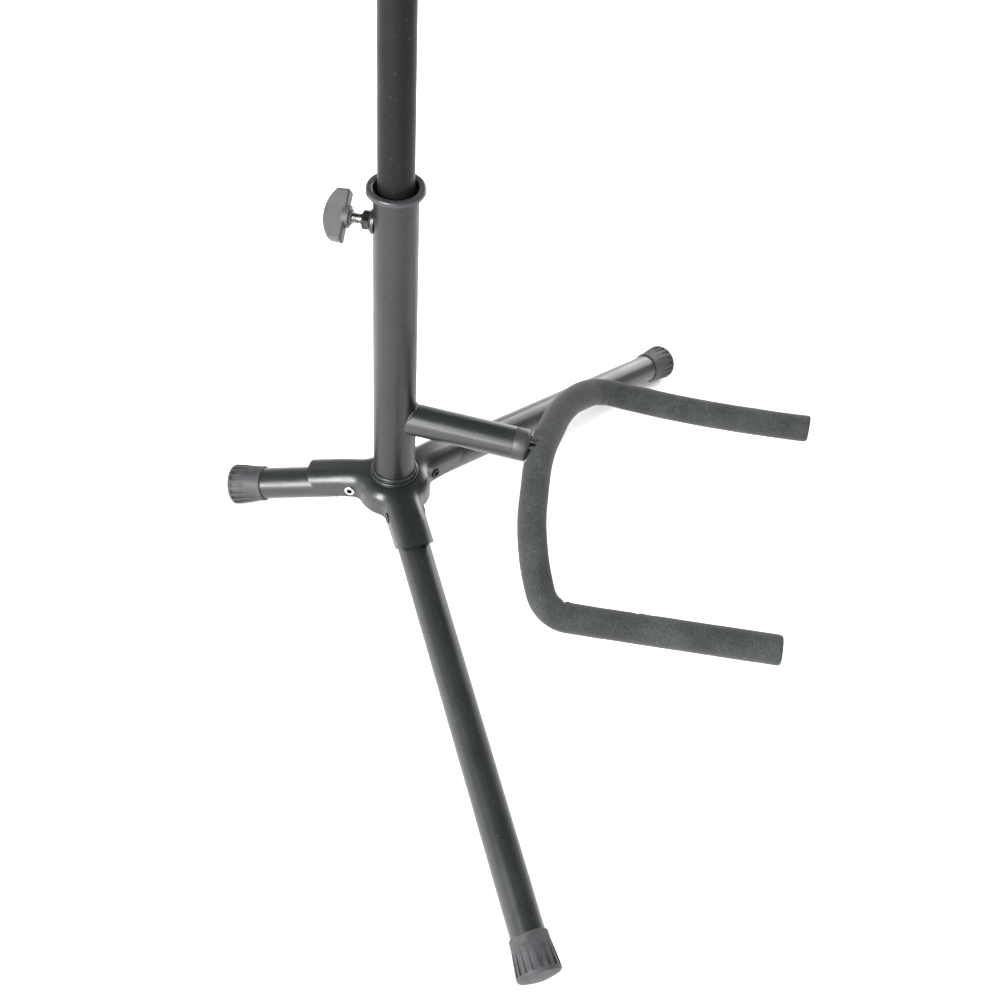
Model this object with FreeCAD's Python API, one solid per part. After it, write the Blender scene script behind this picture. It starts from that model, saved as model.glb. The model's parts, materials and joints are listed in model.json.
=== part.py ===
"""Folding saxophone stand: three legs in a pressed hub, a leaning column with a clamped
telescopic mast, a padded cradle below and a padded bell yoke on top of the mast.

Two frames are used, both in millimetres.
Column frame: Z is the column's axis, the leg axes meet it at the origin, the cradle is towards -Y.
Stand frame: Z is up, the floor is z = 0 and the origin is the middle of the footprint box.
Every piece is made in the column frame and then moved to the stand frame by to_stand().
"""

import FreeCAD, Part

import math
import os

from FreeCAD import Placement, Rotation, Vector

# ---------------------------------------------------------------- driving dimensions

LEAN = 12.4  # degrees that the column leans back from upright
DROOP = 16.1  # degrees that each leg drops below the plane square to the column
LEG_AZIMUTHS = {"rear": 90.0, "left": 210.0, "right": 330.0}

COLUMN_R, COLUMN_WALL = 12.5, 1.2
MAST_R, MAST_WALL = 10.0, 1.2
TUBE_R, TUBE_WALL = 9.5, 1.2  # legs, cradle arm and yoke arm

FRONT_REACH = 292.6  # column axis to the front feet's contact circle, along the leg
FOOT_FLAT = 0.4  # depth worn flat where a foot meets the floor

HUB_SHEET = 1.2
HUB_HALF_WIDTH = 11.0  # outside of a leg socket
SOCKET_ROOF = 13.5  # outside of a socket's roof, above the leg's axis
HUB_DISC_R = 22.0
HUB_BLEND = 8.0  # concave corner between the disc and a socket
HUB_EDGE = 8.5  # rounding of the roof's edge, outside
HUB_TOP = 7.7  # seat of the column
HUB_CREST_R = 2.0  # the roof starts to fall away outside this radius
SKIRT_Z, SKIRT_FALL = -5.2, 0.18  # the walls' lower edge: height at the column's axis, and its slope
SOCKET_END_LOW, SOCKET_END_HIGH = 45.0, 52.5  # slanting end, at the leg's axis and at its roof

PIVOT_S, PIVOT_H = 25.45, 2.2  # leg rivet, along the leg and above its axis
RIVET_R, RIVET_BORE_R, RIVET_HEAD_R, RIVET_HEAD_T = 2.5, 1.6, 3.2, 0.8
LEG_NOSE = 5.9  # inner end of a leg, measured from its rivet
SWAGE_R, SWAGE_END = 7.0, 33.0  # a leg's end is swaged down inside its socket

COLUMN_TOP = 213.0
FLANGE_R, FLANGE_T, FLANGE_MOUTH_R = 16.1, 5.0, 12.4
SLEEVE_END = 176.0  # lower end of the collar's sleeve

CLAMP_Z = 193.0
CLAMP_HOLE_R = 3.4
SCREW_R, SCREW_PITCH, THREAD_DEPTH = 2.95, 1.0, 0.55
PAD_FACE, PAD_BACK = 10.2, 12.4  # distances from the column's axis, as all of the clamp's
NUT_FACE, NUT_BACK, NUT_FLATS = 13.8, 17.9, 10.0
NECK_START, KNOB_FACE, KNOB_BACK = 24.0, 27.1, 39.2
SCREW_END = 36.0
KNOB_LENGTH, KNOB_WIDTH = 29.0, 10.5
KNOB_SHOULDER = 7.2  # straight side of the wing before its rounded back
KNOB_TURN = 48.0  # degrees that the wing stands turned from the column's plane

MAST_BOTTOM, MAST_TOP = 116.0, 500.0
GLIDE_T, GLIDE_R = 8.0, 11.2

ROD_R = 4.0
PIN_R, PIN_HEAD_R = 3.0, 5.5
LUG_WIDTH, LUG_REACH = 3.0, 7.6
FOAM_R = 8.4
RUN = 0.05  # radial clearance of a pin in its bore

ARM_Z = 53.85  # where the cradle arm's axis leaves the column
ARM_TILT = -4.3  # degrees, from square to the column
SEAM_S, PLUG_END_S, ROD_S = 72.0, 78.0, 87.5  # along the arm from the column's axis
CRADLE = {
    "drop": 4.8,  # rod's middle below the arm's axis
    "shoulder": (60.5, 6.8, -13.3),  # right, forward and up from the arm's axis
    "corner": (93.6, 25.1, -30.6),
    "radii": (88.0, 115.0, 18.4),  # bends at the middle, the shoulders and the corners
    "prong": 129.3,
    "uneven": 4.5,  # the right prong is longer by this
    "rise": 5.0,  # degrees that the prongs climb above the arm
    "toe_in": 2.2,
}

YOKE_ARM_Z = 478.0
YOKE_ARM_TILT = 0.0
YOKE_SEAM_S, YOKE_END_S, YOKE_ROD_S = 40.0, 46.0, 55.5
YOKE = {
    "drop": 4.4,
    "shoulder": (36.0, 3.0, -6.5),
    "corner": (58.0, 15.0, -12.0),
    "radii": (90.0, 45.0, 16.0),
    "prong": 82.0,
    "uneven": 0.0,
    "rise": 8.0,
    "toe_in": 2.2,
}

Z_AXIS = Vector(0, 0, 1)
X_AXIS = Vector(1, 0, 0)
Y_AXIS = Vector(0, 1, 0)
FAR = 400.0  # longer than anything that it cuts


# ---------------------------------------------------------------- small solids


def rod(radius, start, end):
    """Cylinder between two points."""
    start, end = Vector(*start), Vector(*end)
    return Part.makeCylinder(radius, (end - start).Length, start, end - start)


def tube(outer, inner, start, end):
    return rod(outer, start, end).cut(rod(inner, start, end))


def turned(profile, axis_point=Vector(0, 0, 0), axis=Z_AXIS):
    """Solid of revolution from a closed list of points in a plane that holds the axis."""
    points = [Vector(*p) for p in profile]
    face = Part.Face(Part.makePolygon(points + points[:1]))
    return face.revolve(axis_point, axis, 360)


def hexagon(flats, start, end):
    """Hexagonal prism along Y, with its corners eased on both ends."""
    corner = flats / math.sqrt(3)
    points = [
        Vector(corner * math.sin(math.radians(a)), start, corner * math.cos(math.radians(a)))
        for a in range(0, 361, 60)
    ]
    prism = Part.Face(Part.makePolygon(points)).extrude(Vector(0, end - start, 0))
    ease = corner - flats / 2
    depth = ease * math.tan(math.radians(30))
    barrel = turned(
        [
            (0, start, 0),
            (flats / 2, start, 0),
            (corner, start + depth, 0),
            (corner, end - depth, 0),
            (flats / 2, end, 0),
            (0, end, 0),
        ],
        axis=Y_AXIS,
    )
    return prism.common(barrel)


def largest(shape):
    return max(shape.Solids, key=lambda solid: solid.Volume)


def fused(shapes):
    shapes = list(shapes)
    return shapes[0].multiFuse(shapes[1:]).removeSplitter()


def bent_rod(corners, radii, radius):
    """Round rod along straight runs joined by tangent bends, one bend radius per inner corner."""
    pieces = []
    start = corners[0]
    for before, corner, after, bend in zip(corners, corners[1:], corners[2:], radii):
        inward = (corner - before).normalize()
        outward = (after - corner).normalize()
        turn = inward.getAngle(outward)
        setback = bend * math.tan(turn / 2)
        bend_start = corner - inward * setback
        normal = inward.cross(outward).normalize()
        centre = bend_start + normal.cross(inward) * bend
        pieces.append(rod(radius, start, bend_start))
        section = Part.Face(Part.Wire(Part.Circle(bend_start, inward, radius).toShape()))
        pieces.append(section.revolve(centre, normal, math.degrees(turn)))
        start = corner + outward * setback
    pieces.append(rod(radius, start, corners[-1]))
    return fused(pieces)


# ---------------------------------------------------------------- frames


def leg_frame(azimuth):
    """Local X runs out along the leg's axis, local Y across it and local Z up."""
    return Placement(Vector(0, 0, 0), Rotation(Z_AXIS, azimuth) * Rotation(Y_AXIS, DROOP))


def arm_frame(height, tilt):
    """Local Y runs out along the arm's axis, local X across it and local Z up."""
    return Placement(Vector(0, 0, height), Rotation(Z_AXIS, 180) * Rotation(X_AXIS, tilt))


def placed(shape, placement):
    moved = shape.copy()
    moved.transformShape(placement.toMatrix())
    return moved


# ---------------------------------------------------------------- feet and how the stand stands

FOOT_RIM_R, FOOT_R, FOOT_EDGE = 10.6, 12.2, 1.8
FOOT_LENGTH = 19.4  # rim to contact circle
FOOT_DOME = 1.6
FOOT_SKIRT = 16.4  # depth of tube inside the foot
FLUTES, FLUTE_DEPTH, FLUTE_WIDTH = 18, 1.0, 2.2

contact_r = FOOT_R - FOOT_EDGE  # the foot's edge is a ring of radius FOOT_EDGE about this circle
sin_front = math.sin(math.radians(DROOP)) * math.cos(math.radians(LEAN)) - 0.5 * math.cos(
    math.radians(DROOP)
) * math.sin(math.radians(LEAN))
front_slope = math.asin(sin_front)
rear_slope = math.radians(DROOP + LEAN)
HUB_HEIGHT = (
    FRONT_REACH * math.sin(front_slope)
    + contact_r * math.cos(front_slope)
    + FOOT_EDGE
    - FOOT_FLAT
)
REAR_REACH = (
    HUB_HEIGHT - contact_r * math.cos(rear_slope) - FOOT_EDGE + FOOT_FLAT
) / math.sin(rear_slope)
REACH = {"rear": REAR_REACH, "left": FRONT_REACH, "right": FRONT_REACH}


def stand_placement(shift=0.0):
    return Placement(Vector(0, shift, HUB_HEIGHT), Rotation(X_AXIS, -LEAN))


def lowest_side(azimuth):
    """Angle about a leg's axis, from the leg's own underside, of the line nearest the floor."""
    to_floor = (stand_placement().Rotation * leg_frame(azimuth).Rotation).inverted()
    down = to_floor.multVec(Vector(0, 0, -1))
    return math.degrees(math.atan2(down.y, -down.z))


def foot(reach):
    """Rubber foot about local X: a smooth rim, flutes that deepen towards the flare, a domed end."""
    rim = reach - FOOT_LENGTH
    edge_x = reach + FOOT_EDGE
    slope_r = FOOT_R - 0.1
    body = turned(
        [
            (rim, 0, 0),
            (rim, 0, FOOT_RIM_R - 0.5),
            (rim + 0.5, 0, FOOT_RIM_R),
            (rim + 4.5, 0, FOOT_RIM_R + 0.15),
            (reach - 2.0, 0, slope_r),
            (reach - 1.0, 0, FOOT_R),
            (edge_x, 0, FOOT_R),
            (edge_x, 0, 0),
        ],
        axis=X_AXIS,
    )
    far_edges = [
        e
        for e in body.Edges
        if abs(e.BoundBox.XMin - edge_x) < 1e-6 and e.BoundBox.YLength > FOOT_R
    ]
    body = body.makeFillet(FOOT_EDGE, far_edges)
    cap_r = (contact_r**2 + FOOT_DOME**2) / (2 * FOOT_DOME)
    cap = Part.makeSphere(cap_r, Vector(edge_x + FOOT_DOME - cap_r, 0, 0))
    cap = cap.common(rod(contact_r, (reach, 0, 0), (reach + FAR, 0, 0)))
    flute_start, flute_end = rim + 4.5, reach - 0.6
    wedge = Part.Face(
        Part.makePolygon(
            [
                Vector(flute_start, 0, FOOT_RIM_R + 0.2),
                Vector(flute_end, 0, FOOT_R - FLUTE_DEPTH),
                Vector(flute_end, 0, FOOT_R + 2),
                Vector(flute_start, 0, FOOT_R + 2),
                Vector(flute_start, 0, FOOT_RIM_R + 0.2),
            ]
        )
    ).extrude(Vector(0, FLUTE_WIDTH, 0))
    wedge.translate(Vector(0, -FLUTE_WIDTH / 2, 0))
    flutes = []
    for i in range(FLUTES):
        flute = wedge.copy()
        flute.rotate(Vector(0, 0, 0), X_AXIS, (i + 0.5) * 360 / FLUTES)
        flutes.append(flute)
    body = fused([body, cap]).cut(Part.makeCompound(flutes))
    return body.cut(rod(TUBE_R, (rim - 1, 0, 0), (rim + FOOT_SKIRT, 0, 0)))


# ---------------------------------------------------------------- hub


def hub_outline(half_width, disc_r, length, blend):
    """Plan of the hub: a disc with three arms, and a concave arc in each corner."""
    centre = (math.sqrt((disc_r + blend) ** 2 - (half_width + blend) ** 2), half_width + blend)
    share = disc_r / (disc_r + blend)
    touch = (centre[0] * share, centre[1] * share)
    end_angle = math.atan2(touch[1] - centre[1], touch[0] - centre[0])
    middle_angle = (end_angle - math.pi / 2) / 2
    middle = (
        centre[0] + blend * math.cos(middle_angle),
        centre[1] + blend * math.sin(middle_angle),
    )
    edges = []
    for azimuth in LEG_AZIMUTHS.values():
        here = Rotation(Z_AXIS, azimuth)
        following = Rotation(Z_AXIS, azimuth + 120)

        def near(x, y):
            return here.multVec(Vector(x, y, 0))

        def across(x, y):
            return following.multVec(Vector(x, -y, 0))

        between = Rotation(Z_AXIS, azimuth + 60).multVec(Vector(disc_r, 0, 0))
        edges += [
            Part.LineSegment(near(length, -half_width), near(length, half_width)),
            Part.LineSegment(near(length, half_width), near(centre[0], half_width)),
            Part.Arc(near(centre[0], half_width), near(*middle), near(*touch)),
            Part.Arc(near(*touch), between, across(*touch)),
            Part.Arc(across(*touch), across(*middle), across(centre[0], half_width)),
            Part.LineSegment(across(centre[0], half_width), across(length, half_width)),
        ]
    return Part.Wire(Part.__sortEdges__([e.toShape() for e in edges]))


def roofed_block(inset, length, floor):
    """Block with the hub's plan and sloping roof, all set in by a distance, and a rounded edge."""
    slope = math.radians(DROOP)
    fall = math.tan(slope)
    top = HUB_TOP - inset
    line = (SOCKET_ROOF - inset) / math.cos(slope)  # the roof's height, carried to the axis
    crown = (line - top - fall * HUB_CREST_R) * math.cos(slope) / (1 - math.cos(slope))
    meet_r = HUB_CREST_R + crown * math.sin(slope)
    meet = Vector(meet_r, 0, line - fall * meet_r)
    halfway = Vector(
        HUB_CREST_R + crown * math.sin(slope / 2), 0, top - crown + crown * math.cos(slope / 2)
    )
    crest = Vector(HUB_CREST_R, 0, top)
    outer_r = length * 1.5
    profile = [
        Part.LineSegment(Vector(0, 0, top), crest),
        Part.Arc(crest, halfway, meet),
        Part.LineSegment(meet, Vector(outer_r, 0, line - fall * outer_r)),
        Part.LineSegment(
            Vector(outer_r, 0, line - fall * outer_r),
            Vector(outer_r, 0, floor - SKIRT_FALL * outer_r),
        ),
        Part.LineSegment(Vector(outer_r, 0, floor - SKIRT_FALL * outer_r), Vector(0, 0, floor)),
        Part.LineSegment(Vector(0, 0, floor), Vector(0, 0, top)),
    ]
    cone = Part.Face(Part.Wire([p.toShape() for p in profile])).revolve(Vector(0, 0, 0), Z_AXIS, 360)
    plan = hub_outline(HUB_HALF_WIDTH - inset, HUB_DISC_R - inset, length, HUB_BLEND + inset)
    prism = Part.Face(plan).extrude(Vector(0, 0, FAR))
    prism.translate(Vector(0, 0, -FAR / 2))
    block = prism.common(cone).Solids[0]

    def on_roof_edge(edge):
        point = edge.valueAt((edge.FirstParameter + edge.LastParameter) / 2)
        radius = math.hypot(point.x, point.y)
        if radius <= meet_r:
            height = top - crown + math.sqrt(crown**2 - max(radius - HUB_CREST_R, 0) ** 2)
        else:
            height = line - fall * radius
        at_end = any(
            abs(Rotation(Z_AXIS, -a).multVec(point).x - length) < 1e-3
            for a in LEG_AZIMUTHS.values()
        )
        ring = isinstance(edge.Curve, Part.Circle) and edge.Curve.Center.Length < FAR and (
            math.hypot(edge.Curve.Center.x, edge.Curve.Center.y) < 1e-6
            and min(abs(edge.Curve.Radius - HUB_CREST_R), abs(edge.Curve.Radius - meet_r)) < 1e-3
        )
        return abs(point.z - height) < 1e-3 and not at_end and not ring

    return block.makeFillet(HUB_EDGE - inset, [e for e in block.Edges if on_roof_edge(e)])


def hub_shell():
    """Pressed steel shell, open below, with three slanting socket mouths."""
    outer = roofed_block(0.0, 62.0, SKIRT_Z)
    hollow = roofed_block(HUB_SHEET, 90.0, SKIRT_Z - 20.0)
    shell = outer.cut(hollow)
    shell = shell.cut(rod(4.3, (0, 0, 0), (0, 0, HUB_TOP + 1)))
    lean = math.degrees(math.atan2(SOCKET_END_HIGH - SOCKET_END_LOW, SOCKET_ROOF))
    for azimuth in LEG_AZIMUTHS.values():
        beyond = Part.makeBox(60, 60, 120, Vector(0, -30, -60))
        beyond.rotate(Vector(0, 0, 0), Y_AXIS, lean)
        beyond.translate(Vector(SOCKET_END_LOW, 0, 0))
        frame = leg_frame(azimuth)
        shell = shell.cut(placed(beyond, frame))
        hole = rod(RIVET_R, (PIVOT_S, -20, PIVOT_H), (PIVOT_S, 20, PIVOT_H))
        shell = shell.cut(placed(hole, frame))
    return shell


def leg_rivet():
    """Tubular rivet across a socket, headed on both sides."""
    outside = HUB_HALF_WIDTH + RIVET_HEAD_T
    rivet = rod(RIVET_R, (0, -outside, 0), (0, outside, 0))
    for side in (-1, 1):
        head = rod(RIVET_HEAD_R, (0, side * HUB_HALF_WIDTH, 0), (0, side * outside, 0))
        rim = [e for e in head.Edges if abs(abs(e.CenterOfMass.y) - outside) < 1e-6]
        rivet = rivet.fuse(head.makeFillet(RIVET_HEAD_T * 0.6, rim))
    rivet = rivet.cut(rod(RIVET_BORE_R, (0, -outside, 0), (0, outside, 0))).removeSplitter()
    rivet.translate(Vector(PIVOT_S, 0, PIVOT_H))
    return rivet


def base_ring():
    """Stepped ring round the foot of the column: a wide flange under a narrow band."""
    low, step, high = HUB_TOP - 1.0, HUB_TOP + 1.7, HUB_TOP + 4.6
    steps = []
    for radius, top, edge in ((14.4, step, 0.7), (13.4, high, 0.7)):
        disc = rod(radius, (0, 0, low), (0, 0, top))
        steps.append(disc.makeFillet(edge, [e for e in disc.Edges if abs(e.CenterOfMass.z - top) < 1e-6]))
    ring = fused(steps).cut(rod(COLUMN_R, (0, 0, low), (0, 0, high)))
    return largest(ring.cut(roofed_block(0.0, 62.0, -20.0)))


PLUG_TOP = 26.0
WASHER_T, SPRING_T, HEAD_T, BOLT_R = 2.0, 2.0, 5.3, 4.0


def column_plug():
    """Threaded insert in the foot of the column, which takes the hub bolt."""
    inside = COLUMN_R - COLUMN_WALL
    plug = rod(inside, (0, 0, HUB_TOP), (0, 0, PLUG_TOP))
    return plug.cut(rod(BOLT_R, (0, 0, HUB_TOP), (0, 0, PLUG_TOP)))


def hub_washer():
    top = HUB_TOP - HUB_SHEET
    return tube(11.0, 4.3, (0, 0, top - WASHER_T), (0, 0, top)).cut(
        roofed_block(0.0, 62.0, -20.0).cut(roofed_block(HUB_SHEET, 90.0, -40.0))
    )


def hub_spring_washer():
    top = HUB_TOP - HUB_SHEET - WASHER_T
    ring = tube(6.9, 4.2, (0, 0, top - SPRING_T), (0, 0, top))
    return ring.cut(Part.makeBox(5, 0.8, 10, Vector(3, -0.4, top - 6)))


def hub_bolt():
    """M8 hexagon bolt from below, through the hub and into the column's plug."""
    seat = HUB_TOP - HUB_SHEET - WASHER_T - SPRING_T
    head = hexagon(13.0, 0, HEAD_T)
    head.rotate(Vector(0, 0, 0), X_AXIS, 90)
    head.translate(Vector(0, 0, seat - HEAD_T))
    shank = rod(BOLT_R, (0, 0, seat - 1), (0, 0, PLUG_TOP - 2))
    return fused([head, shank])


# ---------------------------------------------------------------- legs


def leg_tube(reach):
    """Leg tube along local X, swaged down where it turns inside its socket."""
    nose, end = PIVOT_S - LEG_NOSE, reach - FOOT_LENGTH + FOOT_SKIRT
    leg = turned(
        [
            (nose, 0, SWAGE_R - TUBE_WALL),
            (nose, 0, SWAGE_R),
            (SWAGE_END, 0, SWAGE_R),
            (SWAGE_END + 4.5, 0, TUBE_R),
            (end, 0, TUBE_R),
            (end, 0, TUBE_R - TUBE_WALL),
            (SWAGE_END + 4.5, 0, TUBE_R - TUBE_WALL),
            (SWAGE_END, 0, SWAGE_R - TUBE_WALL),
        ],
        axis=X_AXIS,
    )
    return leg.cut(rod(RIVET_R + RUN, (PIVOT_S, -20, PIVOT_H), (PIVOT_S, 20, PIVOT_H)))


def leg_spacer():
    """Sleeve inside a leg, round its rivet, that keeps the tube from being crushed."""
    start, end = (PIVOT_S, -SWAGE_R, PIVOT_H), (PIVOT_S, SWAGE_R, PIVOT_H)
    sleeve = tube(RIVET_R + 1.1, RIVET_R + RUN, start, end)
    return sleeve.common(rod(SWAGE_R - TUBE_WALL, (0, 0, 0), (FAR, 0, 0)))


def leg_bushes(shell):
    """Nylon rings on the rivets, from each leg's swaged end to the inside of its socket."""
    bushes = []
    for azimuth in LEG_AZIMUTHS.values():
        for side in (-1, 1):
            start = (PIVOT_S, side * (SWAGE_R + RUN), PIVOT_H)
            end = (PIVOT_S, side * (HUB_HALF_WIDTH - HUB_SHEET), PIVOT_H)
            bush = placed(tube(4.6, RIVET_R, start, end), leg_frame(azimuth))
            bushes.append(largest(bush.cut(shell)))
    return Part.makeCompound(bushes)


# ---------------------------------------------------------------- column, collar and clamp


def clamp_hole(radius):
    return rod(radius, (0, 0, CLAMP_Z), (0, 20, CLAMP_Z))


def column_tube():
    column = tube(COLUMN_R, COLUMN_R - COLUMN_WALL, (0, 0, HUB_TOP), (0, 0, COLUMN_TOP))
    return column.cut(clamp_hole(CLAMP_HOLE_R))


def collar():
    """Plastic bush in the column's mouth, with a bell-mouthed lip that overhangs the column."""
    sleeve_r = COLUMN_R - COLUMN_WALL
    bore_r = MAST_R + RUN
    lip_top = COLUMN_TOP + FLANGE_T
    body = turned(
        [
            (bore_r, 0, SLEEVE_END),
            (sleeve_r, 0, SLEEVE_END),
            (sleeve_r, 0, COLUMN_TOP),
            (COLUMN_R + 0.3, 0, COLUMN_TOP),
            (FLANGE_R, 0, COLUMN_TOP + 2.0),
            (FLANGE_R, 0, lip_top),
            (FLANGE_MOUTH_R, 0, lip_top),
            (bore_r + 0.3, 0, COLUMN_TOP - 8.0),
            (bore_r, 0, COLUMN_TOP - 10.0),
        ]
    )
    lip = [
        e
        for e in body.Edges
        if abs(e.BoundBox.ZMin - lip_top) < 1e-6 and e.BoundBox.XLength > 2 * FLANGE_MOUTH_R - 1
    ]
    return body.makeFillet(1.4, lip).cut(clamp_hole(CLAMP_HOLE_R))


def clamp_boss():
    """Round pad welded to the column behind the clamp nut."""
    boss = turned(
        [
            (0, 11.0, CLAMP_Z),
            (0, 11.0, CLAMP_Z + 7.4),
            (0, 12.4, CLAMP_Z + 7.4),
            (0, NUT_FACE, CLAMP_Z + 6.3),
            (0, NUT_FACE, CLAMP_Z),
        ],
        Vector(0, 0, CLAMP_Z),
        Y_AXIS,
    )
    return boss.cut(rod(COLUMN_R, (0, 0, 0), (0, 0, FAR))).cut(clamp_hole(CLAMP_HOLE_R))


def clamp_nut():
    nut = hexagon(NUT_FLATS, NUT_FACE, NUT_BACK)
    nut.translate(Vector(0, 0, CLAMP_Z))
    return nut.cut(clamp_hole(SCREW_R + RUN))


def clamp_pad():
    """Nylon disc on the end of the clamp screw, which bears on the mast."""
    return rod(2.9, (0, PAD_FACE, CLAMP_Z), (0, PAD_BACK, CLAMP_Z))


def clamp_screw():
    """M6 screw with a ridge at each pitch, moulded into the knob."""
    core = SCREW_R - THREAD_DEPTH
    start = PAD_BACK + RUN
    ridges = int((NECK_START - start) / SCREW_PITCH)
    outline = [(0, start, 0), (core, start, 0)]
    for i in range(ridges):
        foot_of_ridge = start + i * SCREW_PITCH
        outline.append((core, foot_of_ridge + 0.1 * SCREW_PITCH, 0))
        outline.append((SCREW_R, foot_of_ridge + 0.42 * SCREW_PITCH, 0))
        outline.append((SCREW_R, foot_of_ridge + 0.58 * SCREW_PITCH, 0))
        outline.append((core, foot_of_ridge + 0.9 * SCREW_PITCH, 0))
    outline += [(core, NECK_START, 0), (SCREW_R, NECK_START, 0)]
    outline += [(SCREW_R, SCREW_END, 0), (0, SCREW_END, 0)]
    screw = turned(outline, axis=Y_AXIS)
    screw.translate(Vector(0, 0, CLAMP_Z))
    return screw


def clamp_knob():
    """Half-moon wing knob with a stepped neck."""
    half, side_back = KNOB_LENGTH / 2, KNOB_FACE + KNOB_SHOULDER
    plan = [
        Part.LineSegment(Vector(0, KNOB_FACE, -half), Vector(0, KNOB_FACE, half)),
        Part.LineSegment(Vector(0, KNOB_FACE, half), Vector(0, side_back, half - 0.6)),
        Part.Arc(
            Vector(0, side_back, half - 0.6),
            Vector(0, KNOB_BACK, 0),
            Vector(0, side_back, 0.6 - half),
        ),
        Part.LineSegment(Vector(0, side_back, 0.6 - half), Vector(0, KNOB_FACE, -half)),
    ]
    wing = Part.Face(Part.Wire([p.toShape() for p in plan])).extrude(Vector(KNOB_WIDTH, 0, 0))
    wing.translate(Vector(-KNOB_WIDTH / 2, 0, 0))
    wing = wing.makeFillet(1.2, wing.Edges)
    wing.rotate(Vector(0, 0, 0), Y_AXIS, KNOB_TURN)
    neck = turned(
        [
            (0, NECK_START, 0),
            (4.2, NECK_START, 0),
            (4.6, NECK_START + 1.2, 0),
            (6.2, NECK_START + 1.4, 0),
            (6.4, KNOB_FACE + 2.0, 0),
            (0, KNOB_FACE + 2.0, 0),
        ],
        axis=Y_AXIS,
    )
    knob = fused([wing, neck]).cut(rod(SCREW_R, (0, NECK_START, 0), (0, SCREW_END, 0)))
    knob.translate(Vector(0, 0, CLAMP_Z))
    return knob


# ---------------------------------------------------------------- mast


def mast_glide():
    """Plastic slider under the mast: its rim runs in the column and the mast turns on its spigot."""
    rim = rod(GLIDE_R, (0, 0, MAST_BOTTOM - GLIDE_T), (0, 0, MAST_BOTTOM - RUN))
    spigot = rod(MAST_R - MAST_WALL - RUN, (0, 0, MAST_BOTTOM - GLIDE_T), (0, 0, MAST_BOTTOM + 14))
    return fused([rim, spigot])


def mast_tube():
    return tube(MAST_R, MAST_R - MAST_WALL, (0, 0, MAST_BOTTOM), (0, 0, MAST_TOP))


def mast_cap():
    """Domed plastic cap pressed into the top of the mast."""
    dome_h = 3.0
    ball_r = (MAST_R**2 + dome_h**2) / (2 * dome_h)
    dome = Part.makeSphere(ball_r, Vector(0, 0, MAST_TOP + 1.5 + dome_h - ball_r))
    head = dome.common(rod(MAST_R, (0, 0, MAST_TOP), (0, 0, MAST_TOP + 10)))
    return fused([head, rod(MAST_R - MAST_WALL, (0, 0, MAST_TOP - 10), (0, 0, MAST_TOP))])


# ---------------------------------------------------------------- padded supports


def support_arm(seam, post_r):
    """Tube out of a post's side, its end coped to the post."""
    arm = tube(TUBE_R, TUBE_R - TUBE_WALL, (0, 0, 0), (0, seam, 0))
    return arm, rod(post_r, (0, 0, 0), (0, 0, MAST_TOP))


def support_plug(seam, end):
    """Plastic end plug with a rounded nose, bored for the swivel pin.

    A half ring behind it stops the lug of the pin's head at a quarter turn each way.
    """
    inside = TUBE_R - TUBE_WALL
    body = turned(
        [
            (0, seam - 12, 0),
            (inside, seam - 12, 0),
            (inside, seam, 0),
            (TUBE_R, seam, 0),
            (TUBE_R, end - 2.2, 0),
            (TUBE_R - 0.6, end - 0.7, 0),
            (TUBE_R - 2.0, end, 0),
            (0, end, 0),
        ],
        axis=Y_AXIS,
    )
    stop = tube(inside, PIN_HEAD_R + 0.4, (0, seam - 16, 0), (0, seam - 12, 0))
    upper = Part.makeBox(30, 10, 20, Vector(-15, seam - 17, -LUG_WIDTH / 2 - RUN))
    body = fused([body, stop.cut(upper)])
    return body.cut(rod(PIN_R + RUN, (0, seam - 12, 0), (0, end, 0)))


def support_path(shape, rod_s, shorten=0.0):
    """Corner points of a support's rod in the arm's frame, from one tip to the other."""
    rise, toe = math.radians(shape["rise"]), math.radians(shape["toe_in"])
    prong = Vector(-math.sin(toe), math.cos(toe) * math.cos(rise), math.cos(toe) * math.sin(rise))
    middle = Vector(0, rod_s, -shape["drop"])
    right, forward, up = shape["shoulder"]
    shoulder = Vector(right, rod_s + forward, up)
    right, forward, up = shape["corner"]
    corner = Vector(right, rod_s + forward, up)
    half = [shoulder, corner, corner + prong * (shape["prong"] - shorten)]
    mirrored = [Vector(-p.x, p.y, p.z) for p in reversed(half)]
    mirrored[0] += Vector(-prong.x, prong.y, prong.z) * shape["uneven"]
    at_middle, at_shoulder, at_corner = shape["radii"]
    radii = [at_corner, at_shoulder, at_middle, at_shoulder, at_corner]
    return mirrored + [middle] + half, radii


def support_rod(shape, rod_s, pin):
    return bent_rod(*support_path(shape, rod_s, 9.0), ROD_R).cut(pin)


def support_pin(seam, rod_s):
    """Swivel pin, welded on top of the rod and held behind the plug by its lugged head."""
    head = rod(PIN_HEAD_R, (0, seam - 15.5, 0), (0, seam - 12.5, 0))
    lug = Part.makeBox(LUG_WIDTH, 3, LUG_REACH, Vector(-LUG_WIDTH / 2, seam - 15.5, 0))
    return fused([head, lug, rod(PIN_R, (0, seam - 14, 0), (0, rod_s + 1.0, 0))])


def support_caps(shape, rod_s):
    """Vinyl caps over the rod's two ends."""
    path, _ = support_path(shape, rod_s, 9.0)
    caps = []
    for tip, inner in ((path[0], path[1]), (path[-1], path[-2])):
        along = (tip - inner).normalize()
        cap = Part.makeCylinder(ROD_R + 1.0, 13.5, tip - along * 12, along)
        caps.append(cap.cut(Part.makeCylinder(ROD_R, 12, tip - along * 12, along)))
    return Part.makeCompound(caps)


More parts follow.
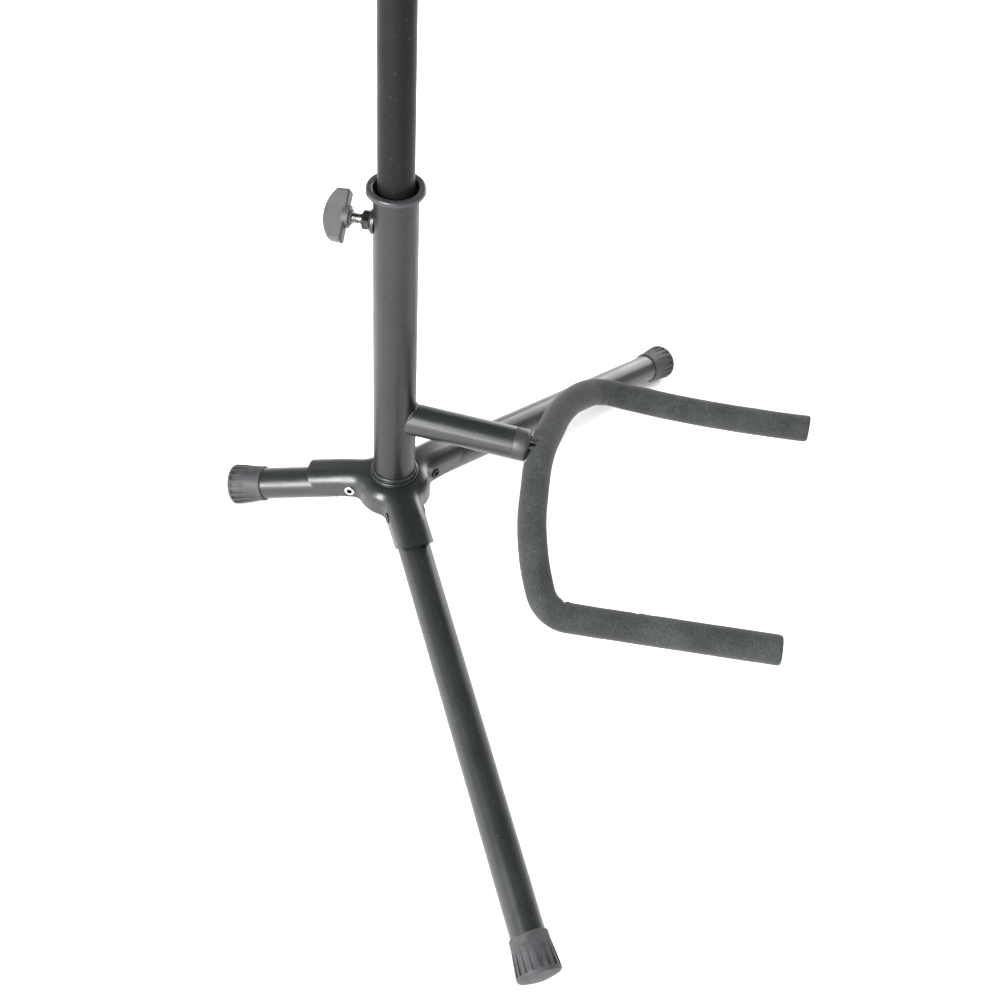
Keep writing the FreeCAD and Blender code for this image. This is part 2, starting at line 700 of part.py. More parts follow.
def support_foam(shape, rod_s, inner_pieces):
    """Foam sleeve over the whole rod, closed at the tips."""
    sleeve = bent_rod(*support_path(shape, rod_s), FOAM_R)
    ends = [
        e
        for e in sleeve.Edges
        if isinstance(e.Curve, Part.Circle)
        and any((e.Curve.Center - tip).Length < 1e-3 for tip in ends_of(shape, rod_s))
    ]
    sleeve = sleeve.makeFillet(2.0, ends)
    for piece in inner_pieces:
        sleeve = sleeve.cut(piece)
    return largest(sleeve)


def ends_of(shape, rod_s):
    path, _ = support_path(shape, rod_s)
    return path[0], path[-1]


def support(prefix, shape, height, tilt, seam, end, rod_s, post_r):
    """All pieces of a padded support on a post: arm, plug, pin, rod, rod caps and foam."""
    frame = arm_frame(height, tilt)
    arm, post = support_arm(seam, post_r)
    pin = support_pin(seam, rod_s)
    bar = support_rod(shape, rod_s, pin)
    caps = support_caps(shape, rod_s)
    foam = support_foam(shape, rod_s, [bar, caps, pin])
    return {
        prefix + "_arm": placed(arm, frame).cut(post),
        prefix + "_arm_plug": placed(support_plug(seam, end), frame),
        prefix + "_pin": placed(pin, frame),
        prefix + "_rod": placed(bar, frame),
        prefix + "_rod_caps": placed(caps, frame),
        prefix + "_foam": placed(foam, frame),
    }


# ---------------------------------------------------------------- assembly


def in_column_frame():
    shell = hub_shell()
    pieces = {
        "hub_shell": shell,
        "leg_bushes": leg_bushes(shell),
        "column_base_ring": base_ring(),
        "column_plug": column_plug(),
        "hub_washer": hub_washer(),
        "hub_spring_washer": hub_spring_washer(),
        "hub_bolt": hub_bolt(),
        "column_tube": column_tube(),
        "collar": collar(),
        "clamp_boss": clamp_boss(),
        "clamp_nut": clamp_nut(),
        "clamp_pad": clamp_pad(),
        "clamp_screw": clamp_screw(),
        "clamp_knob": clamp_knob(),
        "mast_glide": mast_glide(),
        "mast_tube": mast_tube(),
        "mast_cap": mast_cap(),
    }
    for name, azimuth in LEG_AZIMUTHS.items():
        frame = leg_frame(azimuth)
        pieces["leg_rivet_" + name] = placed(leg_rivet(), frame)
        pieces["leg_tube_" + name] = placed(leg_tube(REACH[name]), frame)
        pieces["leg_spacer_" + name] = placed(leg_spacer(), frame)
        rubber = foot(REACH[name])
        rubber.rotate(Vector(0, 0, 0), X_AXIS, lowest_side(azimuth))
        pieces["foot_" + name] = placed(rubber, frame)
    pieces.update(
        support("cradle", CRADLE, ARM_Z, ARM_TILT, SEAM_S, PLUG_END_S, ROD_S, COLUMN_R)
    )
    pieces.update(
        support(
            "yoke", YOKE, YOKE_ARM_Z, YOKE_ARM_TILT, YOKE_SEAM_S, YOKE_END_S, YOKE_ROD_S, MAST_R
        )
    )
    return pieces


def footprint_shift(pieces):
    """Distance along Y that puts the footprint box's middle at the origin."""
    boxes = [s.optimalBoundingBox(False) for s in pieces.values()]
    return -(min(b.YMin for b in boxes) + max(b.YMax for b in boxes)) / 2


def to_stand(pieces):
    """The pieces standing on the floor, with each foot's contact worn flat."""
    standing = {name: placed(shape, stand_placement()) for name, shape in pieces.items()}
    below = Part.makeBox(2 * FAR, 2 * FAR, 50, Vector(-FAR, -FAR, -50))
    for name in LEG_AZIMUTHS:
        standing["foot_" + name] = standing["foot_" + name].cut(below)
    shift = footprint_shift(standing)
    for shape in standing.values():
        shape.translate(Vector(0, shift, 0))
    return standing, shift


def main():
    os.makedirs("parts", exist_ok=True)
    standing, shift = to_stand(in_column_frame())
    for name, shape in standing.items():
        shape.exportStep("parts/" + name + ".step")
        print(name, len(shape.Solids), "solid(s)", round(shape.Volume), "mm3", shape.isValid())
    print("footprint shift", round(shift, 4), "hub height", round(HUB_HEIGHT, 4))


if __name__ == "__main__":
    main()
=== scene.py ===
"""Looks of the saxophone stand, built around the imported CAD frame. Metres, +Z up."""

import json
import math

import bpy
from mathutils import Matrix, Vector, noise

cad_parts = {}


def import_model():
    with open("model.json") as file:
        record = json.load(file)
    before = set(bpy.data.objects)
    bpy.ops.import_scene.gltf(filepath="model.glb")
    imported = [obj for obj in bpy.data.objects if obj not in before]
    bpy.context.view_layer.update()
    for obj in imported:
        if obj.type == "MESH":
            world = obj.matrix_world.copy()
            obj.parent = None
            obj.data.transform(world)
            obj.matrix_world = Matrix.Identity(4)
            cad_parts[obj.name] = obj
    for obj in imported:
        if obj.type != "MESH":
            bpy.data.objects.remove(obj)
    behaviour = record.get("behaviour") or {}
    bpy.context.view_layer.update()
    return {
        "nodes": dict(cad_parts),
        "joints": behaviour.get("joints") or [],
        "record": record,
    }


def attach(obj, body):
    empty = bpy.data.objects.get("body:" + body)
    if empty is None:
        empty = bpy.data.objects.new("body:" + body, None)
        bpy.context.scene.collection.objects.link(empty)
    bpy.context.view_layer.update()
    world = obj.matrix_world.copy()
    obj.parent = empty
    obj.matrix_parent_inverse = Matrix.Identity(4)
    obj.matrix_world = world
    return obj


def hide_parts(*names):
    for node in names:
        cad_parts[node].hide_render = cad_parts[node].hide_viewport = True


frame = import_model()
nodes = frame["nodes"]
joints = {j["name"]: j for j in frame["joints"]}

MM = 0.001

# ------------------------------------------------------------------ frames taken from the joints

UP = Vector(joints["mast_slide"]["axis"]).normalized()
REAR = Vector(joints["knob_turn"]["axis"]).normalized()
RIGHT = REAR.cross(UP)
TURN_HEIGHT = 300 * MM  # mast_turn's point, up the column's axis from the leg axes
HUB = Vector(joints["mast_turn"]["pos_m"]) - UP * TURN_HEIGHT


def column_point(x, y, z):
    """A point given in millimetres in the column's own frame."""
    return HUB + (RIGHT * x + REAR * y + UP * z) * MM


def arm_matrix(joint, swivel_s):
    """Frame of a support's arm: X across, Y out along the arm, Z up, origin on the post's axis."""
    out = Vector(joints[joint]["axis"]).normalized()
    across = -RIGHT
    up = across.cross(out)
    origin = Vector(joints[joint]["pos_m"]) - out * swivel_s * MM
    matrix = Matrix((across, out, up)).transposed().to_4x4()
    matrix.translation = origin
    return matrix


# ------------------------------------------------------------------ materials


class Shader:
    """A principled material with small helpers for its procedural detail."""

    def __init__(self, name, **sockets):
        self.material = bpy.data.materials.new(name)
        self.material.use_nodes = True
        self.tree = self.material.node_tree
        self.bsdf = self.tree.nodes["Principled BSDF"]
        self.coords = self.tree.nodes.new("ShaderNodeTexCoord")
        for socket, value in sockets.items():
            self.bsdf.inputs[socket.replace("_", " ")].default_value = value

    def link(self, source, target):
        self.tree.links.new(source, target)

    def noise(self, scale, detail=2.0, rough=0.5, stretch=None):
        """Noise in object space; scale is features per metre."""
        source = self.coords.outputs["Object"]
        if stretch:
            mapping = self.tree.nodes.new("ShaderNodeMapping")
            mapping.inputs["Scale"].default_value = stretch
            self.link(source, mapping.inputs["Vector"])
            source = mapping.outputs["Vector"]
        node = self.tree.nodes.new("ShaderNodeTexNoise")
        node.inputs["Scale"].default_value = scale
        node.inputs["Detail"].default_value = detail
        node.inputs["Roughness"].default_value = rough
        self.link(source, node.inputs["Vector"])
        return node.outputs["Fac"]

    def cells(self, scale):
        node = self.tree.nodes.new("ShaderNodeTexVoronoi")
        node.inputs["Scale"].default_value = scale
        self.link(self.coords.outputs["Object"], node.inputs["Vector"])
        return node.outputs["Distance"]

    def spread(self, source, low, high, start=0.3, end=0.7):
        node = self.tree.nodes.new("ShaderNodeMapRange")
        node.inputs["From Min"].default_value = start
        node.inputs["From Max"].default_value = end
        node.inputs["To Min"].default_value = low
        node.inputs["To Max"].default_value = high
        self.link(source, node.inputs["Value"])
        return node.outputs["Result"]

    def mix(self, factor, first, second):
        """Mix of two colours; each is a tuple or an output."""
        node = self.tree.nodes.new("ShaderNodeMix")
        node.data_type = "RGBA"
        self.link(factor, node.inputs["Factor"])
        for socket, value in ((node.inputs[6], first), (node.inputs[7], second)):
            if isinstance(value, tuple):
                socket.default_value = (*value, 1.0)
            else:
                self.link(value, socket)
        return node.outputs[2]

    def bump(self, *layers):
        """Bump layers as (height output, depth in metres, strength), first layer lowest."""
        below = None
        for height, depth, strength in layers:
            node = self.tree.nodes.new("ShaderNodeBump")
            node.inputs["Distance"].default_value = depth
            node.inputs["Strength"].default_value = strength
            self.link(height, node.inputs["Height"])
            if below:
                self.link(below, node.inputs["Normal"])
            below = node.outputs["Normal"]
        self.link(below, self.bsdf.inputs["Normal"])

    def colour(self, source):
        self.link(source, self.bsdf.inputs["Base Color"])

    def roughness(self, source):
        self.link(source, self.bsdf.inputs["Roughness"])


def powder_coat(name, dark, light, rough, specular):
    """Satin black powder coat: orange peel, hazy patches and a few specks of dust."""
    shader = Shader(name, Specular_IOR_Level=specular)
    dust = shader.spread(shader.noise(420, 6, 0.7), 0.0, 1.0, 0.60, 0.74)
    haze = shader.spread(shader.noise(18, 3), 0.0, 1.0)
    base = shader.mix(haze, dark, light)
    shader.colour(shader.mix(dust, base, (0.05, 0.052, 0.05)))
    shader.roughness(shader.spread(shader.noise(55, 4), *rough))
    shader.bump((shader.noise(900, 2), 0.00008, 0.35), (shader.noise(3200, 1), 0.00002, 0.5))
    return shader.material


def foam():
    """Closed-cell foam with a skinned, slightly dusty and rubbed surface."""
    shader = Shader("foam_cover", Roughness=0.93, Sheen_Weight=0.12, Sheen_Roughness=0.45)
    patches = shader.spread(shader.noise(42, 5, 0.6), 0.0, 1.0, 0.38, 0.68)
    grain = shader.spread(shader.noise(1100, 5, 0.75), 0.0, 1.0, 0.38, 0.64)
    skin = shader.mix(patches, (0.0062, 0.0074, 0.0069), (0.0122, 0.0142, 0.0132))
    rubbed = shader.mix(patches, (0.0225, 0.0258, 0.0245), (0.049, 0.0555, 0.053))
    shader.colour(shader.mix(grain, skin, rubbed))
    shader.bump(
        (shader.noise(300, 3), 0.0002, 0.5),
        (shader.cells(2100), 0.00022, 0.6),
        (shader.noise(3800, 3, 0.7), 0.0001, 0.7),
    )
    return shader.material


def foot_rubber():
    """Black rubber greyed by bloom."""
    shader = Shader("foot_rubber")
    bloom = shader.spread(shader.noise(160, 5, 0.65), 0.0, 1.0, 0.35, 0.7)
    shader.colour(shader.mix(bloom, (0.022, 0.0213, 0.0238), (0.044, 0.0425, 0.047)))
    shader.roughness(shader.spread(shader.noise(90, 3), 0.5, 0.72))
    shader.bump((shader.noise(1100, 3), 0.00008, 0.5))
    return shader.material


def grey_plastic():
    """Mid-grey glass-filled plastic with a fine moulded texture."""
    shader = Shader("grey_plastic")
    cloud = shader.spread(shader.noise(70, 4), 0.0, 1.0)
    shader.colour(shader.mix(cloud, (0.034, 0.034, 0.036), (0.052, 0.052, 0.055)))
    shader.roughness(shader.spread(shader.noise(500, 3), 0.42, 0.58))
    shader.bump((shader.noise(1700, 3), 0.00005, 0.5))
    return shader.material


def black_plastic(name, dark, light, rough):
    """Moulded plastic or vinyl, slightly mottled."""
    shader = Shader(name)
    cloud = shader.spread(shader.noise(60, 3), 0.0, 1.0)
    shader.colour(shader.mix(cloud, dark, light))
    shader.roughness(shader.spread(shader.noise(400, 3), *rough))
    shader.bump((shader.noise(1500, 2), 0.00004, 0.5))
    return shader.material


def metal(name, dark, light, rough):
    """Plated steel with fine drawn marks and patchy tarnish."""
    shader = Shader(name, Metallic=1.0)
    stain = shader.spread(shader.noise(260, 4, 0.6), 0.0, 1.0, 0.35, 0.65)
    shader.colour(shader.mix(stain, dark, light))
    marks = shader.noise(900, 3, 0.6, (1.0, 1.0, 0.12))
    shader.roughness(shader.spread(marks, *rough))
    shader.bump((marks, 0.00003, 0.4))
    return shader.material


VINYL_DARK, VINYL_LIGHT = (0.015, 0.016, 0.016), (0.025, 0.0265, 0.0265)

MATERIALS = {
    "powder_coat": powder_coat(
        "powder_coat", (0.007, 0.0088, 0.0084), (0.011, 0.0135, 0.0129), (0.26, 0.35), 0.65
    ),
    "column_coat": powder_coat(
        "column_coat", (0.007, 0.0082, 0.008), (0.011, 0.0125, 0.0121), (0.3, 0.38), 0.4
    ),
    "mast_coat": powder_coat(
        "mast_coat", (0.005, 0.005, 0.0047), (0.0075, 0.0075, 0.007), (0.34, 0.44), 0.12
    ),
    "foam_cover": foam(),
    "foot_rubber": foot_rubber(),
    "grey_plastic": grey_plastic(),
    "black_plastic": black_plastic("black_plastic", VINYL_DARK, VINYL_LIGHT, (0.34, 0.5)),
    "collar_plastic": black_plastic(
        "collar_plastic", (0.02, 0.0195, 0.022), (0.032, 0.031, 0.035), (0.24, 0.36)
    ),
    "vinyl": black_plastic("vinyl", VINYL_DARK, VINYL_LIGHT, (0.34, 0.5)),
    "zinc_steel": metal("zinc_steel", (0.12, 0.115, 0.10), (0.36, 0.35, 0.32), (0.24, 0.42)),
    "nickel_rivet": metal("nickel_rivet", (0.46, 0.44, 0.40), (0.66, 0.64, 0.60), (0.14, 0.26)),
    "black_steel": metal("black_steel", (0.03, 0.03, 0.03), (0.07, 0.068, 0.065), (0.32, 0.5)),
}


def dress(piece, slot):
    piece.data.materials.clear()
    piece.data.materials.append(MATERIALS[slot])


for entry in frame["record"]["subparts"]:
    dress(nodes[entry["node"]], entry["material_slot"])
for node, material in (
    ("mast_tube", "mast_coat"),
    ("column_tube", "column_coat"),
    ("collar", "collar_plastic"),
):
    dress(nodes[node], material)


# ------------------------------------------------------------------ building meshes


def new_piece(name, points, faces, slot, body):
    """A smooth-shaded mesh piece that rides a body."""
    mesh = bpy.data.meshes.new(name)
    mesh.from_pydata([tuple(p) for p in points], [], faces)
    mesh.update()
    mesh.polygons.foreach_set("use_smooth", [True] * len(mesh.polygons))
    piece = bpy.data.objects.new(name, mesh)
    bpy.context.scene.collection.objects.link(piece)
    dress(piece, slot)
    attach(piece, body)
    return piece


def skin_rings(rings, close_ends=True, closed_loop=False):
    """Faces between equal rings of points, with a fan over each end."""
    around = len(rings[0])
    points = [p for ring in rings for p in ring]
    faces = []
    pairs = len(rings) if closed_loop else len(rings) - 1
    for i in range(pairs):
        a, b = i * around, ((i + 1) % len(rings)) * around
        for j in range(around):
            k = (j + 1) % around
            faces.append((a + j, a + k, b + k, b + j))
    if close_ends and not closed_loop:
        last = (len(rings) - 1) * around
        for ring, start, flip in ((rings[0], 0, True), (rings[-1], last, False)):
            centre = len(points)
            points.append(sum(ring, Vector()) / around)
            for j in range(around):
                k = (j + 1) % around
                face = (start + j, start + k, centre)
                faces.append(face[::-1] if flip else face)
    return points, faces


# ------------------------------------------------------------------ foam sleeves

FOAM_R = 8.4
ARM_R = 9.5  # arm tubes and the plugs in their ends
# bent rods in the arms' frames, in millimetres and degrees; shoulder and corner are from rod_s
CRADLE = {
    "drop": 4.8,
    "shoulder": (60.5, 6.8, -13.3),
    "corner": (93.6, 25.1, -30.6),
    "radii": (88.0, 115.0, 18.4),
    "prong": 129.3,
    "uneven": 4.5,
    "droop": 9.0,
    "rise": 5.0,
    "toe_in": 2.2,
    "rod_s": 87.5,
    "swivel_s": 78.0,
    "seam_s": 72.0,
    "nose_s": 81.2,
}
YOKE = {
    "drop": 4.4,
    "shoulder": (36.0, 3.0, -6.5),
    "corner": (58.0, 15.0, -12.0),
    "radii": (90.0, 45.0, 16.0),
    "prong": 82.0,
    "uneven": 0.0,
    "droop": 0.0,
    "rise": 8.0,
    "toe_in": 2.2,
    "rod_s": 55.5,
    "swivel_s": 46.0,
    "seam_s": 40.0,
    "nose_s": 49.2,
}


def support_corners(shape):
    """Corner points and bend radii of a support's rod in its arm's frame, from tip to tip."""
    rise, toe = math.radians(shape["rise"]), math.radians(shape["toe_in"])
    prong = Vector((-math.sin(toe), math.cos(toe) * math.cos(rise), math.cos(toe) * math.sin(rise)))
    rod_s = shape["rod_s"]
    x, y, z = shape["shoulder"]
    shoulder = Vector((x, rod_s + y, z))
    x, y, z = shape["corner"]
    corner = Vector((x, rod_s + y, z))
    half = [shoulder, corner, corner + prong * shape["prong"]]
    mirrored = [Vector((-p.x, p.y, p.z)) for p in reversed(half)]
    mirrored[0] += Vector((-prong.x, prong.y, prong.z)) * shape["uneven"]
    middle, at_shoulder, at_corner = shape["radii"]
    bends = [at_corner, at_shoulder, middle, at_shoulder, at_corner]
    return mirrored + [Vector((0, rod_s, -shape["drop"]))] + half, bends


def follow(corners, bends, step):
    """Points and directions at even steps along straight runs and tangent arcs."""
    pieces, start = [], corners[0]
    for before, corner, after, bend in zip(corners, corners[1:], corners[2:], bends):
        inward = (corner - before).normalized()
        outward = (after - corner).normalized()
        turn = inward.angle(outward)
        setback = bend * math.tan(turn / 2)
        arc_start = corner - inward * setback
        normal = inward.cross(outward).normalized()
        centre = arc_start + normal.cross(inward) * bend
        pieces.append(("run", start, arc_start, inward))
        pieces.append(("arc", centre, arc_start - centre, normal, turn, inward))
        start = corner + outward * setback
    pieces.append(("run", start, corners[-1], (corners[-1] - start).normalized()))
    lengths = [
        (p[2] - p[1]).length if p[0] == "run" else p[2].length * p[4] for p in pieces
    ]
    total = sum(lengths)
    count = round(total / step)
    path = []
    for i in range(count + 1):
        s = total * i / count
        left, index = s, 0
        while index < len(pieces) - 1 and left > lengths[index]:
            left -= lengths[index]
            index += 1
        piece = pieces[index]
        if piece[0] == "run":
            path.append((s, piece[1] + piece[3] * left, piece[3]))
        else:
            turned = Matrix.Rotation(left / piece[2].length, 3, piece[3])
            path.append((s, piece[1] + turned @ piece[2], turned @ piece[5]))
    starts = [sum(lengths[:i]) for i in range(len(lengths))]
    return path, total, starts, lengths


def bell(value, width):
    """A smooth bump: one at zero, falling off over the width."""
    return math.exp(-((value / width) ** 2))


def around_gap(angle, centre):
    """Signed angle from the centre, within half a turn."""
    return (angle - centre + math.pi) % (2 * math.pi) - math.pi


def crease(s, angle, place, centre, depth, width, reach, lip):
    """A sharp inward fold across the sleeve, in millimetres, with a swollen lip just past it."""
    across = bell(around_gap(angle, centre), reach)
    gap = s - place
    notch = -depth * math.exp(-abs(gap) / width)
    swell = lip * bell(gap - 3.2 * width, 2.6 * width)
    return (notch + swell) * across


def sag(past, shape):
    """Height in millimetres of the far side off its drawn path, past its bend towards the tip.

    The bend is lifted a little; the prong dips after it, then lifts again at its tip.
    """
    if not shape["droop"]:
        return 0.0
    crest = 0.8 * bell(past + 8, 34)
    beyond = max(past, 0)
    along = beyond / (shape["prong"] + shape["uneven"])
    dip = shape["droop"] * along * (1.21 * along - 1)
    return crest + dip * min(beyond / 16, 1)


SLEEVE_STEP = 0.6
FAR_BEND, NEAR_BEND = 1, 9  # places of the corner bends among the path's runs and arcs


def foam_sleeve(name, shape, joint, node, body, folds, slit_depth):
    """Foam tube pulled over the bent rod; angle 0 faces away from the U, a quarter turn is up."""
    path, total, starts, lengths = follow(*support_corners(shape), SLEEVE_STEP)
    matrix = arm_matrix(joint, shape["swivel_s"])
    bend_middles = {
        bend: starts[index] + lengths[index] / 2
        for bend, index in (("far", FAR_BEND), ("near", NEAR_BEND))
    }
    middle = total / 2
    lift = Vector((0, 0, 1))
    far = bend_middles["far"]
    path = [(s, point + lift * sag(far - s, shape), along) for s, point, along in path]
    around = 64
    edge = 1.9
    hollow_r, hollow_s = ARM_R + 0.4, shape["nose_s"] + 0.3

    def radius_at(s, angle):
        r = FOAM_R - 0.05
        drift = noise.noise(Vector((s * 0.022, 3.1, len(name))))
        lumps = noise.noise(Vector((s * 0.06, math.cos(angle) * 0.8, math.sin(angle) * 0.8)))
        r += 0.16 * drift + 0.14 * lumps
        for place in bend_middles.values():
            squeeze = bell(s - place, 13.0)
            r -= 0.35 * squeeze * bell(around_gap(angle, 0.0), 0.9)
            r += 0.25 * squeeze * bell(around_gap(angle, math.pi / 2), 0.8)
        for bend, offset, *fold in folds:
            r += crease(s, angle, bend_middles[bend] + offset, *fold)
        if -0.2 < around_gap(angle, 0.75) < 0.9:
            r -= slit_depth * bell(s - middle - 0.4, 0.45)
        over_pin = bell(s - middle, 4.5) * bell(around_gap(angle, 1.1), 0.6)
        return r + 1.7 * over_pin

    def ring_at(s, point, along, shrink=0.0, shift=0.0):
        side = along.cross(lift).normalized()
        top = side.cross(along).normalized()
        ring = []
        for j in range(around):
            angle = 2 * math.pi * j / around
            r = max(radius_at(s, angle) - shrink, 0.05)
            out = side * (r * math.cos(angle)) + top * (r * math.sin(angle))
            local = point + along * shift + out
            if math.hypot(local.x, local.z) < hollow_r:
                local.y = max(local.y, hollow_s)
            ring.append(matrix @ (local * MM))
        return ring

    def end_rings(s, point, along, outward):
        """Rounded rim and slightly hollowed face of a cut end, from the rim inwards."""
        result = []
        for k in range(1, 7):
            turn = math.pi / 2 * k / 6
            shrink = edge * (1 - math.cos(turn))
            result.append(ring_at(s, point, along, shrink, outward * edge * (math.sin(turn) - 1)))
        for shrink, sink in ((3.0, 0.1), (4.5, 0.25), (6.2, 0.35), (7.6, 0.4)):
            result.append(ring_at(s, point, along, shrink, -outward * sink))
        return result

    first = next(i for i, p in enumerate(path) if p[0] >= edge)
    last = next(i for i in range(len(path) - 1, 0, -1) if total - path[i][0] >= edge)
    rings = [ring_at(*path[i]) for i in range(first, last + 1)]
    rings = list(reversed(end_rings(*path[0], -1.0))) + rings + end_rings(*path[-1], 1.0)
    points, faces = skin_rings(rings)
    piece = new_piece(name, points, faces, "foam_cover", body)
    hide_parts(node)
    return piece


INSIDE = math.pi
# bend, mm past its middle, angle round the sleeve, depth, width, angular reach, lip
cradle_folds = [
    ("near", 5.5, INSIDE - 0.15, 2.4, 1.0, 0.75, 0.9),
    ("near", 48.0, INSIDE - 0.5, 0.5, 0.8, 0.6, 0.3),
    ("far", -4.0, INSIDE - 0.1, 1.7, 1.0, 0.7, 0.4),
    ("far", -28.0, 0.6, -0.4, 4.0, 0.6, 0.0),
    ("far", -9.0, 0.35, 0.5, 0.9, 0.5, 0.25),
    ("far", -13.5, 0.5, 0.35, 0.8, 0.5, 0.2),
]
yoke_folds = [
    ("near", 4.0, INSIDE - 0.1, 1.6, 1.0, 0.7, 0.6),
    ("far", -4.0, INSIDE - 0.1, 1.4, 1.1, 0.7, 0.5),
]
foam_sleeve(
    "cradle_foam_sleeve", CRADLE, "cradle_swivel", "cradle_foam", "cradle", cradle_folds, 0.4
)
foam_sleeve("yoke_foam_sleeve", YOKE, "yoke_swivel", "yoke_foam", "yoke", yoke_folds, 0.3)


# ------------------------------------------------------------------ arm plugs


def arm_plug(name, shape, joint, node, body):
    """Plug in an arm's end, its rounded nose sunk in the hollow of the foam, bored for the pin."""
    matrix = arm_matrix(joint, shape["swivel_s"])
    seam, nose = shape["seam_s"], shape["nose_s"]
    bore, inside = 3.15, ARM_R - 1.25
    outline = [
        (bore, seam - 11.9),
        (inside - 0.1, seam - 12.0),
        (inside, seam - 11.9),
        (inside, seam - 0.1),
        (inside + 0.1, seam),
        (ARM_R - 0.25, seam),
        (ARM_R - 0.07, seam + 0.07),
        (ARM_R, seam + 0.25),
        (ARM_R, nose - 2.3),
        (ARM_R - 0.15, nose - 1.5),
        (ARM_R - 0.55, nose - 0.75),
        (ARM_R - 1.2, nose - 0.25),
        (ARM_R - 2.0, nose),
        (bore + 0.2, nose),
        (bore, nose - 0.2),
    ]
    around = 72
    rings = []
    for radius, out in outline:
        ring = []
        for j in range(around):
            turn = 2 * math.pi * j / around
            local = Vector((radius * math.cos(turn), out, radius * math.sin(turn)))
            ring.append(matrix @ (local * MM))
        rings.append(ring)
    points, faces = skin_rings(rings, closed_loop=True)
    piece = new_piece(name, points, [face[::-1] for face in faces], "black_plastic", body)
    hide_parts(node)


arm_plug("cradle_plug_nose", CRADLE, "cradle_swivel", "cradle_arm_plug", "base")
arm_plug("yoke_plug_nose", YOKE, "yoke_swivel", "yoke_arm_plug", "mast")


# ------------------------------------------------------------------ welds


def weld(name, joint, swivel_s, post_r, body, middle_angle, spread, size):
    """Rippled bead where an arm's end meets its post, tapering out at both ends."""
    matrix = arm_matrix(joint, swivel_s)
    tilt = math.asin(Vector(joints[joint]["axis"]).dot(UP))
    count, around = 90, 14
    track = []
    for i in range(count + 1):
        angle = middle_angle + spread * (2 * i / count - 1)
        x, z = ARM_R * math.cos(angle), ARM_R * math.sin(angle)
        out = (math.sqrt(post_r**2 - x**2) + z * math.sin(tilt)) / math.cos(tilt)
        track.append(Vector((x, out, z)))
    rings = []
    for i, point in enumerate(track):
        along = (track[min(i + 1, count)] - track[max(i - 1, 0)]).normalized()
        off = Vector((point.x, 0, point.z)).normalized()
        side = along.cross(off).normalized()
        top = side.cross(along)
        fade = math.sqrt(max(1 - (2 * i / count - 1) ** 6, 0.02))
        ripple = 1 + 0.10 * math.sin(i * 0.9) + 0.10 * noise.noise(point * 0.5)
        r = size * fade * ripple
        ring = []
        for j in range(around):
            turn = 2 * math.pi * j / around
            local = point + side * (r * math.cos(turn)) + top * (r * 0.8 * math.sin(turn))
            ring.append(matrix @ (local * MM))
        rings.append(ring)
    points, faces = skin_rings(rings)
    return new_piece(name, points, faces, "powder_coat", body)


for prefix, joint, shape, post_r, body in (
    ("cradle", "cradle_swivel", CRADLE, 12.5, "base"),
    ("yoke", "yoke_swivel", YOKE, 10.0, "mast"),
):
    for place, angle in (("top", math.pi / 2), ("bottom", -math.pi / 2)):
        weld(f"{prefix}_weld_{place}", joint, shape["swivel_s"], post_r, body, angle, 0.95, 1.3)


# ------------------------------------------------------------------ floor, lights and camera


def floor():
    mesh = bpy.data.meshes.new("studio_floor")
    half = 6.0
    mesh.from_pydata(
        [(-half, -half, 0), (half, -half, 0), (half, half, 0), (-half, half, 0)],
        [],
        [(0, 1, 2, 3)],
    )
    plane = bpy.data.objects.new("studio_floor", mesh)
    bpy.context.scene.collection.objects.link(plane)
    shader = Shader("studio_floor", Roughness=0.9)
    cloud = shader.spread(shader.noise(2, 2), 0.0, 1.0)
    shader.colour(shader.mix(cloud, (0.93, 0.93, 0.93), (0.95, 0.95, 0.95)))
    plane.data.materials.append(shader.material)


def softbox(name, place, target, size, power, glossy=True):
    data = bpy.data.lights.new(name, "AREA")
    data.shape = "RECTANGLE"
    data.size, data.size_y = size
    data.energy = power
    lamp = bpy.data.objects.new(name, data)
    lamp.location = place
    lamp.rotation_euler = (Vector(target) - Vector(place)).to_track_quat("-Z", "Y").to_euler()
    lamp.visible_glossy = glossy
    bpy.context.scene.collection.objects.link(lamp)


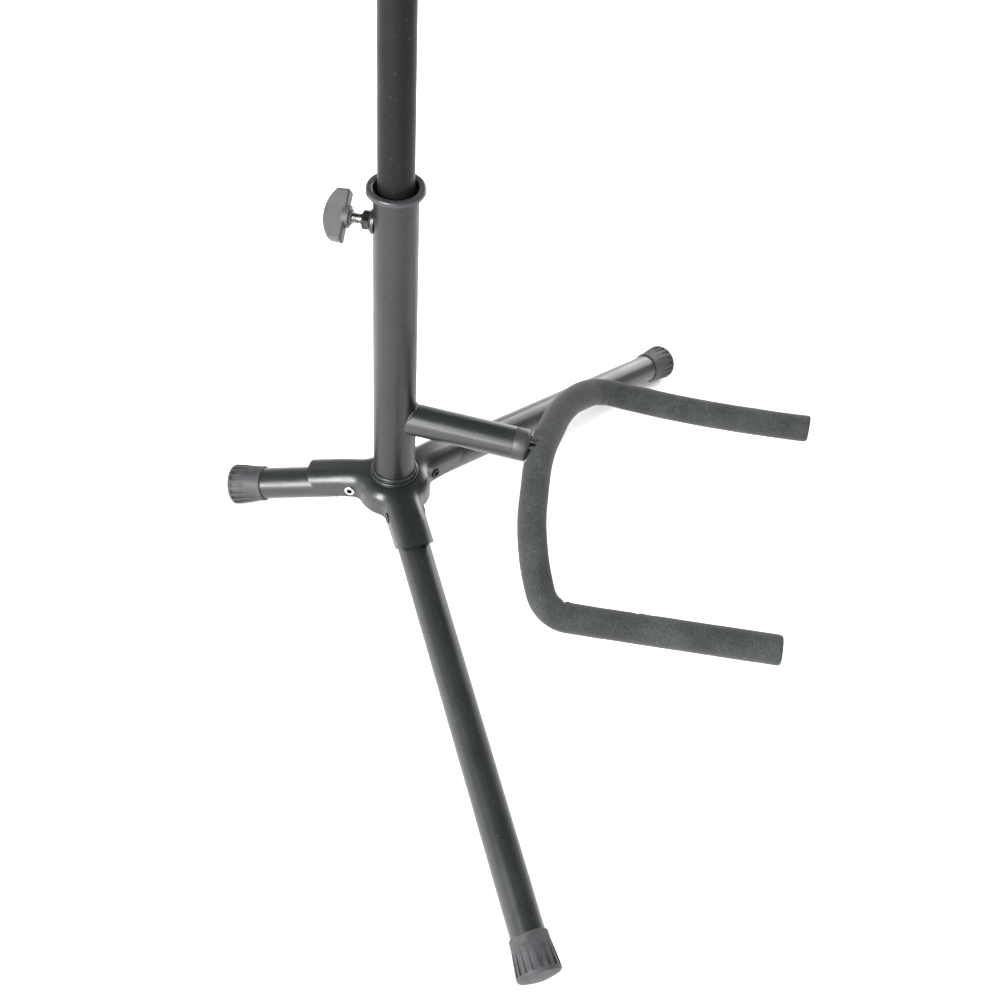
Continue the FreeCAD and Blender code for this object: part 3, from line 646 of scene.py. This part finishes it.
def world(horizon, zenith):
    """White surround: bright round the horizon and dim overhead."""
    scene = bpy.context.scene
    scene.world = bpy.data.worlds.new("studio")
    scene.world.use_nodes = True
    tree = scene.world.node_tree
    coords = tree.nodes.new("ShaderNodeTexCoord")
    split = tree.nodes.new("ShaderNodeSeparateXYZ")
    fade = tree.nodes.new("ShaderNodeMapRange")
    fade.inputs["From Min"].default_value = 0.15
    fade.inputs["From Max"].default_value = 0.75
    fade.inputs["To Min"].default_value = horizon
    fade.inputs["To Max"].default_value = zenith
    tree.links.new(coords.outputs["Generated"], split.inputs["Vector"])
    tree.links.new(split.outputs["Z"], fade.inputs["Value"])
    tree.links.new(fade.outputs["Result"], tree.nodes["Background"].inputs["Strength"])
    tree.nodes["Background"].inputs["Color"].default_value = (1.0, 1.0, 1.0, 1.0)


def camera():
    """View from beyond the -X side, 39 degrees above the floor and rolled."""
    data = bpy.data.cameras.new("view")
    data.sensor_width = 36.0
    data.lens = 57.87
    data.shift_x = -0.0133
    data.shift_y = -0.2321
    data.clip_start = 0.01
    view = bpy.data.objects.new("view", data)
    heading, pitch, roll = (math.radians(angle) for angle in (-0.6822, -38.8382, 19.4194))
    level = Vector((math.sin(heading), -math.cos(heading), 0))
    forward = Vector((math.cos(heading), math.sin(heading), 0)) * math.cos(pitch)
    forward.z = math.sin(pitch)
    raised = level.cross(forward)
    right = level * math.cos(roll) + raised * math.sin(roll)
    up = raised * math.cos(roll) - level * math.sin(roll)
    matrix = Matrix((right, up, -forward)).transposed().to_4x4()
    matrix.translation = column_point(-670.25, -172.96, 705.35)
    view.matrix_world = matrix
    bpy.context.scene.collection.objects.link(view)
    bpy.context.scene.camera = view


floor()
world(0.8, 0.08)
softbox("key", (-1.6, 1.0, 0.8), (0, 0, 0.1), (0.8, 1.5), 80)
softbox("low_key", (-1.95, 0.2, 0.6), (0, 0, 0.2), (0.8, 0.5), 13)
softbox("sweep", (2.4, -0.7, 0.7), (0, 0, 0.1), (1.9, 1.5), 50)
softbox("overhead", (0.1, 0.0, 2.6), (0, 0, 0), (3.4, 3.4), 128, glossy=False)
camera()
bpy.context.scene.view_settings.view_transform = "Standard"
